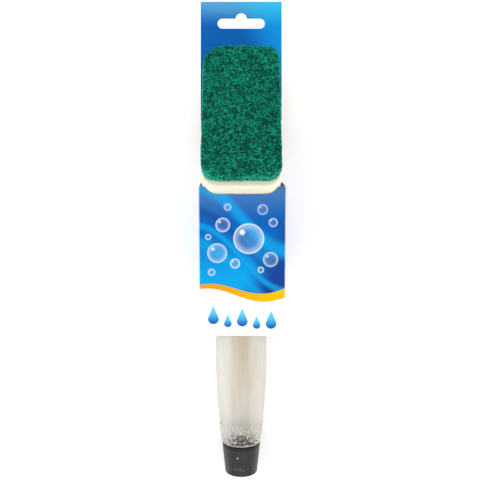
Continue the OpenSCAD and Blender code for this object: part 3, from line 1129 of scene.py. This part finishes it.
@dataclass
class SpongeHead:
    """The head's soft parts: the cream sponge and the green pad with its web of fibres.

    The blocks are in metres. What draws in, swells, strays or curls is in millimetres.
    """

    sponge: SoftBlock = field(default_factory=lambda: SoftBlock(
        width=2 * across_of("sponge")[1], length=98.5 * MM, height=19.0 * MM,
        corner_r=10.0 * MM, edge_r=1.1 * MM, cell=1.25 * MM))
    pad: SoftBlock = field(default_factory=lambda: SoftBlock(
        width=2 * across_of("scour_pad")[1] - 0.6 * MM, length=92.8 * MM, height=7.6 * MM,
        corner_r=9.0 * MM, edge_r=1.2 * MM, cell=0.8 * MM))
    pad_setback: float = 4.3 * MM
    glued_in: float = 0.55
    swell: float = 0.45
    sponge_skin: tuple[Pair, ...] = ((160.0, 0.16), (620.0, 0.07))
    pit_scale: float = 700.0
    pit_depth: float = 0.42
    pad_sunk: float = 0.25
    corner_from: Pair = (0.45, 0.8)
    corner_cut: Pair = (1.2, 2.2)
    end_sag: float = 1.1
    ragged: Pair = (0.5, 0.3)
    ragged_scale: float = 90.0
    face_fibres: int = 6240
    edge_fibres: int = 2400
    fibre_long: Pair = (1.3, 3.4)
    fibre_thick: Pair = (0.1, 0.22)
    fibre_curl: float = 4.4
    fibre_sides: int = 3
    fibre_steps: int = 5
    seed: int = 7

    def finish(self, name: str, shape: bmesh.types.BMesh,
               material: bpy.types.Material) -> bpy.types.Object:
        """Turns a block in the head's frame into a piece that rides on the head.

        Args:
            name: the piece's name.
            shape: the block.
            material: its material.

        Returns:
            The piece.
        """
        shape.transform(LIE.head_matrix())
        mesh = bpy.data.meshes.new(name)
        shape.to_mesh(mesh)
        shape.free()
        made = link_mesh(mesh, material)
        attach(made, "head")
        return made

    def build_sponge(self, material: bpy.types.Material) -> bpy.types.Object:
        """The sponge: sides that swell a little, a drawn-in glued edge and an uneven skin.

        Args:
            material: its material.

        Returns:
            The piece.
        """
        shape = self.sponge.grid()
        middle = self.sponge.height / 2
        for vert in shape.verts:
            rise = 1.0 - ((vert.co.z - middle) / middle) ** 2
            out = Vector((vert.normal.x, vert.normal.y, 0.0))
            wobble = sum(noise.noise(vert.co * scale) * depth for scale, depth in self.sponge_skin)
            vert.co += out * (wobble - self.glued_in + self.swell * rise) * MM
            if vert.co.z > middle:
                vert.co.z += min(0.0, wobble) * MM
        made = self.finish("cream_sponge", shape, material)
        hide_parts("sponge")
        return made

    def build_pad(self, material: bpy.types.Material) -> bpy.types.Object:
        """The pad's bed: a slab whose skin is pitted where the web is open.

        Args:
            material: its material.

        Returns:
            The piece.
        """
        shape = self.pad.grid()
        for vert in shape.verts:
            lift = noise.fractal(vert.co * self.pit_scale, 0.9, 2.0, 3) * self.pit_depth
            vert.co += vert.normal * (lift - self.pad_sunk) * MM
            vert.co += self.outline_shift(vert.co)
            vert.co.z = max(vert.co.z, 0.05 * MM)
            vert.co += self.pad_place()
        made = self.finish("scour_pad_bed", shape, material)
        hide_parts("scour_pad")
        return made

    def pad_place(self) -> Vector:
        """Where the pad starts in the head's frame: on the sponge, short of its neck end."""
        return Vector((0.0, self.pad_setback, self.sponge.height))

    def outline_shift(self, point: Vector) -> Vector:
        """How the pad's cut outline strays from a neat one: a trimmed far corner and uneven edges.

        Args:
            point: a place on the pad, in its own frame.

        Returns:
            The shift of that place.
        """
        side, end = self.corner_from
        across, along = point.x / (self.pad.width / 2), point.y / self.pad.length
        left = max(0.0, (-across - side) / (1.0 - side))
        far = max(0.0, (along - end) / (1.0 - end))
        sag = max(0.0, far - 0.35) * across ** 2 * self.end_sag
        edge = noise.noise(Vector((point.x * self.ragged_scale, point.y * self.ragged_scale, 3.0)))
        cut_x, cut_y = (part * left * far for part in self.corner_cut)
        ragged_x, ragged_y = (part * edge for part in self.ragged)
        return Vector((cut_x + ragged_x * across, ragged_y - cut_y - sag, 0.0)) * MM

    def face_point(self, pick: random.Random) -> tuple[Vector, Vector]:
        """A random place on the pad's face.

        Args:
            pick: the seeded source of chance.

        Returns:
            The place and the outward direction, in the pad's own frame.
        """
        half = self.pad.width / 2
        point = Vector((pick.uniform(-half, half), pick.uniform(0, self.pad.length), self.pad.height))
        core = self.pad.core(point)
        if (point - core).length > self.pad.corner_r:
            point = core + (point - core).normalized() * self.pad.corner_r * pick.uniform(0.8, 0.99)
        return point, Vector((0, 0, 1))

    def edge_point(self, pick: random.Random) -> tuple[Vector, Vector]:
        """A random place on the pad's cut sides.

        Args:
            pick: the seeded source of chance.

        Returns:
            The place and the outward direction, in the pad's own frame.
        """
        straight_share, long_side_share = 0.75, 0.68
        radius, middle = self.pad.corner_r, self.pad.length / 2
        run_x, run_y = self.pad.width / 2 - radius, middle - radius
        turn = pick.uniform(0, 2 * math.pi)
        out = Vector((math.cos(turn), math.sin(turn), 0))
        side = Vector((math.copysign(run_x, out.x), middle + math.copysign(run_y, out.y), 0))
        if pick.random() < straight_share:
            if pick.random() < long_side_share:
                out = Vector((math.copysign(1.0, out.x), 0, 0))
                side.y = pick.uniform(radius, self.pad.length - radius)
            else:
                out = Vector((0, math.copysign(1.0, out.y), 0))
                side.x = pick.uniform(-run_x, run_x)
        return side + out * radius + Vector((0, 0, pick.uniform(0.1, 0.95) * self.pad.height)), out

    def held_in(self, centre: Vector) -> Vector:
        """Keeps a fibre from running out past the pad's outline.

        Args:
            centre: a place on the fibre, in the pad's own frame.

        Returns:
            The same place, or the nearest one that is allowed.
        """
        core = self.pad.core(centre)
        off = centre - core
        reach = self.pad.corner_r + 0.35 * MM
        if off.length > reach:
            off = off.normalized() * reach
        held = core + off
        held.z = min(max(centre.z, 0.15 * MM), self.pad.height + 0.5 * MM)
        return held

    def add_fibre(self, web: Shell, point: Vector, out: Vector, pick: random.Random) -> None:
        """Lays one short curled fibre flat against the pad.

        Args:
            web: the shell that it joins.
            point: its middle, in the pad's own frame.
            out: the direction out of the pad.
            pick: the seeded source of chance.
        """
        along = Vector((pick.gauss(0, 1), pick.gauss(0, 1), pick.gauss(0, 1)))
        along = (along - out * along.dot(out)).normalized()
        across = out.cross(along)
        length = pick.uniform(*self.fibre_long) * MM
        curl = pick.uniform(-1.0, 1.0) * self.fibre_curl
        thick = pick.uniform(*self.fibre_thick) * MM
        lift = pick.uniform(-0.3, 0.3) * MM
        arch = pick.uniform(-0.1, 0.45) * MM
        base, sides, steps = len(web.verts), self.fibre_sides, self.fibre_steps
        for k in range(steps + 1):
            part = k / steps - 0.5
            centre = point + along * part * length + across * curl * part * part * length * 0.5
            centre = self.held_in(centre + out * (lift + arch * math.cos(part * math.pi)))
            width = thick * (1.0 - 1.2 * part * part)
            for j in range(sides):
                angle = 2 * math.pi * j / sides
                vert = centre + (across * math.cos(angle) + out * math.sin(angle)) * width
                web.verts.append(vert + self.outline_shift(vert) + self.pad_place())
        for k in range(base, base + steps * sides, sides):
            for j in range(sides):
                a, b = k + j, k + (j + 1) % sides
                web.faces.append((a, b, b + sides, a + sides))
        web.faces.append(tuple(base + j for j in reversed(range(sides))))
        web.faces.append(tuple(base + steps * sides + j for j in range(sides)))

    def build_fibres(self, name: str, count: int,
                     where: Callable[[random.Random], tuple[Vector, Vector]],
                     material: bpy.types.Material) -> bpy.types.Object:
        """One part of the web: the fibres over the pad's face, or round its sides.

        Args:
            name: the piece's name.
            count: how many fibres it has.
            where: gives a place and the direction out of the pad.
            material: the fibres' material.

        Returns:
            The piece, riding on the head.
        """
        pick, web = random.Random(self.seed + count), Shell()
        for _ in range(count):
            self.add_fibre(web, *where(pick), pick)
        made = web.piece(name, material, LIE.head_matrix())
        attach(made, "head")
        return made


@dataclass(frozen=True)
class Mound:
    """A small round mound: each ring's share of its radius and of its height, and whether it has a tip."""

    rings: tuple[Pair, ...]
    around: int
    tip: bool

    def stand(self, shell: Shell, s: float, turn: float, foot_r: float, size: Pair) -> None:
        """Adds one mound that stands out from the wand's axis.

        Args:
            shell: the shell that it joins, in the handle's frame.
            s: its place along the axis.
            turn: its angle round the axis, from the front.
            foot_r: how far its foot is from the axis.
            size: its radius and its height.
        """
        out = Vector((math.sin(turn), 0, math.cos(turn)))
        side = Vector((math.cos(turn), 0, -math.sin(turn)))
        centre = Vector((0, s, 0)) + out * foot_r
        base, count = len(shell.verts), self.around
        for share, rise in self.rings:
            for j in range(count):
                angle = 2 * math.pi * j / count
                flat = side * math.cos(angle) + Vector((0, 1, 0)) * math.sin(angle)
                shell.verts.append(centre + flat * size[0] * share + out * size[1] * rise)
        if self.tip:
            shell.verts.append(centre + out * size[1])
        top = base + (len(self.rings) - 1) * count
        for j in range(count):
            k = (j + 1) % count
            shell.faces += [(low + j, low + k, low + count + k, low + count + j)
                            for low in range(base, top, count)]
            if self.tip:
                shell.faces.append((top + j, top + k, top + count))
        shell.faces.append(tuple(base + j for j in reversed(range(count))))
        if not self.tip:
            shell.faces.append(tuple(top + j for j in range(count)))


@dataclass
class HandleDots:
    """The zone of small raised dots round the handle, close to the cap."""

    first_s: float = 22.6 * MM
    last_s: float = 35.4 * MM
    spacing: float = 0.98 * MM
    sink: float = 0.06 * MM
    wide: Pair = (0.32, 0.54)
    high: Pair = (0.14, 0.26)
    stray: Pair = (0.3, 0.25)
    thinning: float = 0.4
    dome: Mound = Mound(rings=((1.0, 0.0), (0.72, 0.7)), around=7, tip=True)
    seed: int = 3

    def build(self, material: bpy.types.Material) -> bpy.types.Object:
        """Lays out the dots in rows round the handle, fewer as they go up.

        Args:
            material: their material.

        Returns:
            The piece, riding on the wand.
        """
        pick, dots = random.Random(self.seed), Shell()
        stray_s, stray_turn = self.stray
        rows = int((self.last_s - self.first_s) / self.spacing)
        for row in range(rows + 1):
            s_row = self.first_s + row * self.spacing
            count = int(2 * math.pi * HANDLE.radius(s_row) / self.spacing)
            keep = 1.0 - self.thinning * (row / rows) ** 2
            for i in range(count):
                if pick.random() > keep:
                    continue
                s = s_row + pick.uniform(-stray_s, stray_s) * self.spacing
                step = i + 0.5 * (row % 2) + pick.uniform(-stray_turn, stray_turn)
                turn = 2 * math.pi * step / count
                size = (pick.uniform(*self.wide) * MM, self.sink + pick.uniform(*self.high) * MM)
                self.dome.stand(dots, s, turn, HANDLE.radius(s) - self.sink, size)
        made = dots.piece("handle_dots", material, LIE.wand_matrix())
        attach(made, "wand")
        return made


@dataclass
class CapMarks:
    """The moulding pip on the cap's front, pale grey on the black cap as a painted highlight."""

    s: float = 13.6 * MM
    across: float = -2.4 * MM
    radius: float = 0.5 * MM
    height: float = 0.16 * MM
    sink: float = 0.05 * MM
    dish: Mound = Mound(
        rings=((1.0, 0.0), (0.92, 0.8), (0.78, 1.0), (0.4, 0.75)), around=20, tip=False)

    def build(self, material: bpy.types.Material) -> bpy.types.Object:
        """A low round pip with a dished top.

        Args:
            material: its material.

        Returns:
            The piece, riding on the cap.
        """
        cap_r, pip = HANDLE.cap_radius(self.s), Shell()
        self.dish.stand(pip, self.s, self.across / cap_r, cap_r - self.sink, (self.radius, self.height))
        made = pip.piece("cap_pip_painted_highlight", material, LIE.wand_matrix())
        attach(made, "cap")
        return made


BLACK = srgb(30, 31, 33)


class Finish(Enum):
    """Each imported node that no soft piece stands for, with its finish."""

    CAP = ("filler_cap", CapPlastic(
        "cap_plastic", BLACK, worn=srgb(112, 114, 118), roughness=0.38, grain=0.14, gloss=0.32))
    BASE = ("head_base", MouldedPlastic(
        "base_plastic", BLACK, worn=srgb(96, 98, 102), roughness=0.46, grain=0.2))
    TUBE = ("handle_tube", ClearPlastic())
    RING = ("neck_ring", SoftRubber("ring_rubber", srgb(34, 34, 34)))
    LINER = ("cap_liner", SoftRubber("liner_foam", srgb(232, 231, 224), roughness=0.75))
    VALVE = ("flow_valve", SoftRubber("valve_silicone", srgb(214, 218, 220), roughness=0.35, clear=0.4))
    DRIP = ("drip_plate", MouldedPlastic(
        "drip_plastic", srgb(212, 215, 218), worn=srgb(235, 236, 238), grain=0.1))
    HEADER = ("backing_card", HeaderPrint())
    SLEEVE = ("wrap_sleeve", SleevePrint())

    def dress(self) -> None:
        """Puts the finish on its node."""
        node, surface = self.value
        materials = frame["nodes"][node].data.materials
        materials.clear()
        materials.append(surface.build())
        LOG.info("dressed %s", node)


class Fibre(Enum):
    """The web's three greens: the bed's dark green holds painted shade in the gaps, and the edge fibres
    are a paler copy of the face fibres, painted light for the pad's cut sides.
    """

    # The bed's dark green is painted shade in the web's gaps.
    BED = ScourBed("scour_bed", srgb(0, 100, 80), dark=srgb(0, 54, 44))
    FACE = ScourFibre("face_fibres", srgb(40, 232, 192), dark=srgb(0, 88, 70))
    # Painted light: a paler copy of the face fibres, for the pad's cut sides that catch the lamps.
    SIDE = ScourFibre("edge_fibres", srgb(56, 228, 192), dark=srgb(0, 142, 116))


@dataclass(frozen=True)
class Lamp:
    """One soft area lamp: where it hangs, its width and height in metres, and its power in watts."""

    name: str
    place: Triple
    size: Pair
    watts: float


@dataclass
class Studio:
    """The pale floor, the plain light and the camera above the wand."""

    camera_place: Vector = field(default_factory=lambda: Vector((-0.8, -3.22, 550.0)) * MM)
    frame_px: float = 480.0
    focal_px: float = 813.0
    sensor_mm: float = 36.0
    aim: Vector = field(default_factory=lambda: Vector((0.0, 0.0, 0.03)))
    lamps: tuple[Lamp, ...] = (
        Lamp("left_bank", (-1.15, 0.0, 0.28), (0.4, 1.4), 13.5),
        Lamp("right_bank", (1.15, 0.0, 0.28), (0.4, 1.4), 11.5),
        Lamp("near_bank", (0.0, -1.2, 0.5), (1.0, 0.5), 5.0))
    floor_half: float = 4.0
    floor_gap: float = 0.02 * MM

    def camera(self) -> None:
        """A camera straight above, with the photograph's field of view."""
        data = bpy.data.cameras.new("camera")
        data.sensor_width = self.sensor_mm
        data.lens = self.focal_px / self.frame_px * self.sensor_mm
        data.clip_start = 0.01
        made = bpy.data.objects.new("camera", data)
        made.location = self.camera_place
        bpy.context.scene.collection.objects.link(made)
        bpy.context.scene.camera = made

    def floor(self) -> None:
        """A wide white table top that keeps the wand's shadow."""
        corners = [Vector((x, y, 0)) * self.floor_half for x, y in ((-1, -1), (1, -1), (1, 1), (-1, 1))]
        top = Shell(corners, [(0, 1, 2, 3)])
        made = top.piece("table_top", TableTop("table_top", srgb(246, 246, 246)).build(), smooth=False)
        made.location.z = -self.floor_gap

    def world(self) -> None:
        """An even surround: white to the camera, and in mirrors white walls round a dim ceiling."""
        world = bpy.data.worlds.new("surround")
        bpy.context.scene.world = world
        world.use_nodes = True
        graph = Graph(world.node_tree)
        seen = graph.node("ShaderNodeLightPath").outputs
        ray_up = graph.axes(graph.node("ShaderNodeTexCoord").outputs["Generated"])[2]
        level = graph.node("ShaderNodeMix", data_type="FLOAT")
        mirrored = graph.most(seen["Is Glossy Ray"], seen["Is Transmission Ray"])
        for slot, value in ((0, mirrored), (2, 0.6), (3, graph.span(ray_up, 0.8, 0.98, 1.0, 0.15))):
            graph.feed(level.inputs[slot], value)
        graph.put(world.node_tree.nodes["Background"], {
            "Color": (1, 1, 1), "Strength": graph.most(level.outputs[0], seen["Is Camera Ray"])})

    def hang(self, lamp: Lamp) -> None:
        """Hangs a lamp and aims it at the middle of the wand.

        Args:
            lamp: which lamp.
        """
        data = bpy.data.lights.new(lamp.name, "AREA")
        data.shape = "RECTANGLE"
        data.size, data.size_y = lamp.size
        data.energy = lamp.watts
        made = bpy.data.objects.new(lamp.name, data)
        made.location = lamp.place
        made.rotation_euler = (self.aim - made.location).to_track_quat("-Z", "Y").to_euler()
        bpy.context.scene.collection.objects.link(made)

    def build(self) -> None:
        """Sets up everything that isn't the wand."""
        self.camera()
        self.floor()
        self.world()
        for lamp in self.lamps:
            self.hang(lamp)
        bpy.context.scene.view_settings.view_transform = "Standard"


def main() -> None:
    """Builds the studio, the finishes and the soft parts, in order."""
    logging.basicConfig(level=logging.INFO, format="%(message)s")
    Studio().build()
    for finish in Finish:
        finish.dress()
    head = SpongeHead()
    bed, face, side = (fibre.value.build() for fibre in Fibre)
    # Pale grey on the black cap: the pip's colour is a painted highlight.
    pip = MouldedPlastic("cap_pip_painted_highlight", srgb(200, 202, 206), worn=srgb(220, 222, 226), roughness=0.3)
    pieces = [
        head.build_sponge(SpongeFoam().build()),
        head.build_pad(bed),
        head.build_fibres("scour_pad_face", head.face_fibres, head.face_point, face),
        head.build_fibres("scour_pad_edge", head.edge_fibres, head.edge_point, side),
        HandleDots().build(PebbleDots().build()),
        CapMarks().build(pip.build()),
    ]
    for piece in pieces:
        LOG.info("built %s with %d faces", piece.name, len(piece.data.polygons))


if __name__ == "__main__":
    main()
